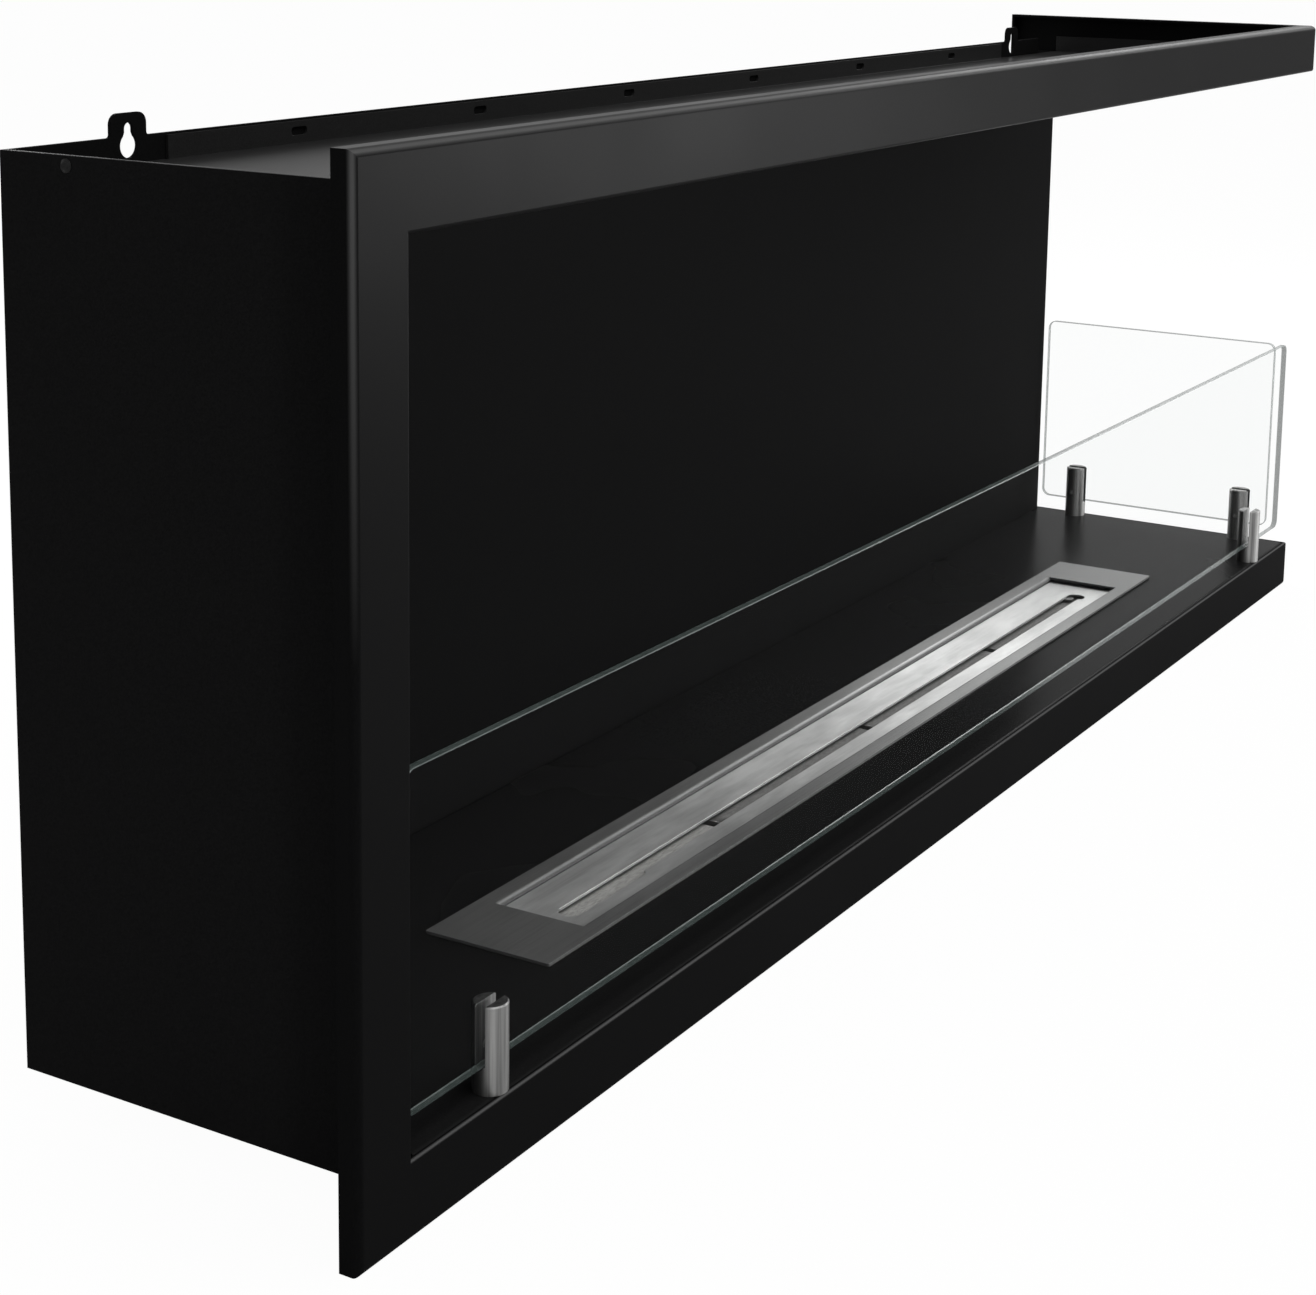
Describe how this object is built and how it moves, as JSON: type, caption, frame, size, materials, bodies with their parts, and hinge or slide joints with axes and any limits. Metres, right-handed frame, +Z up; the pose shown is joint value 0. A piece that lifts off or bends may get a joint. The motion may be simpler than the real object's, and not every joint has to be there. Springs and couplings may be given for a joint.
{
  "type": "built-in corner bioethanol fireplace",
  "caption": "Black sheet-steel fireplace insert open at the front and right side, with a flange frame, low glass panes on steel posts and a linear ethanol burner with a sliding shutter.",
  "frame": {"origin": "midway between the round holes of the two keyholes, on the back sheet's rear face", "axes": "+X to the right along the front, towards the open side; +Y into the wall, out of the back sheet; +Z up"},
  "size_m": [1.2, 0.247, 0.444],
  "materials": {
    "frame_coat": "fine satin black powder coat",
    "casing_coat": "satin black heat-resistant coat, glossier on the floor",
    "rivet": "black coated rivet",
    "clear_glass": "clear tempered glass with polished edges",
    "post_steel": "turned and brushed stainless steel",
    "screw_steel": "plain stainless steel screws",
    "burner_steel": "stainless steel, brushed lengthwise",
    "tank_steel": "dull stainless sheet",
    "wool": "white ceramic wool"
  },
  "bodies": {
    "casing": {"left_stile": "frame_coat", "front_top_rail": "frame_coat", "front_bottom_rail": "frame_coat", "side_top_rail": "frame_coat", "side_bottom_rail": "frame_coat", "rear_stile": "frame_coat", "left_wall": "casing_coat", "back_wall": "casing_coat", "top_plate": "casing_coat", "floor_plate": "casing_coat", "bottom_pan": "casing_coat", "floor_channel_left": "casing_coat", "floor_channel_right": "casing_coat", "wall_rivet": "rivet", "front_left_post": "post_steel", "front_right_post": "post_steel", "side_front_post": "post_steel", "side_rear_post": "post_steel", "post_screws": "screw_steel", "set_screws": "screw_steel"},
    "front_pane": {"front_glass": "clear_glass"},
    "side_pane": {"side_glass": "clear_glass"},
    "burner": {"burner_rim": "burner_steel", "burner_tank": "tank_steel", "tank_ribs": "tank_steel", "ceramic_wool": "wool", "burner_baffle": "burner_steel"},
    "shutter": {"burner_shutter": "burner_steel"}
  },
  "joints": [
    {"name": "front_pane_lift", "type": "slide", "parent": "casing", "child": "front_pane", "axis": [0, 0, 1], "range_m": [0, 0.15]},
    {"name": "side_pane_lift", "type": "slide", "parent": "casing", "child": "side_pane", "axis": [0, 0, 1], "range_m": [0, 0.15]},
    {"name": "burner_lift", "type": "slide", "parent": "casing", "child": "burner", "axis": [0, 0, 1], "range_m": [0, 0.12]},
    {"name": "shutter_slide", "type": "slide", "parent": "burner", "child": "shutter", "axis": [0, -1, 0], "range_m": [0, 0.016]}
  ]
}
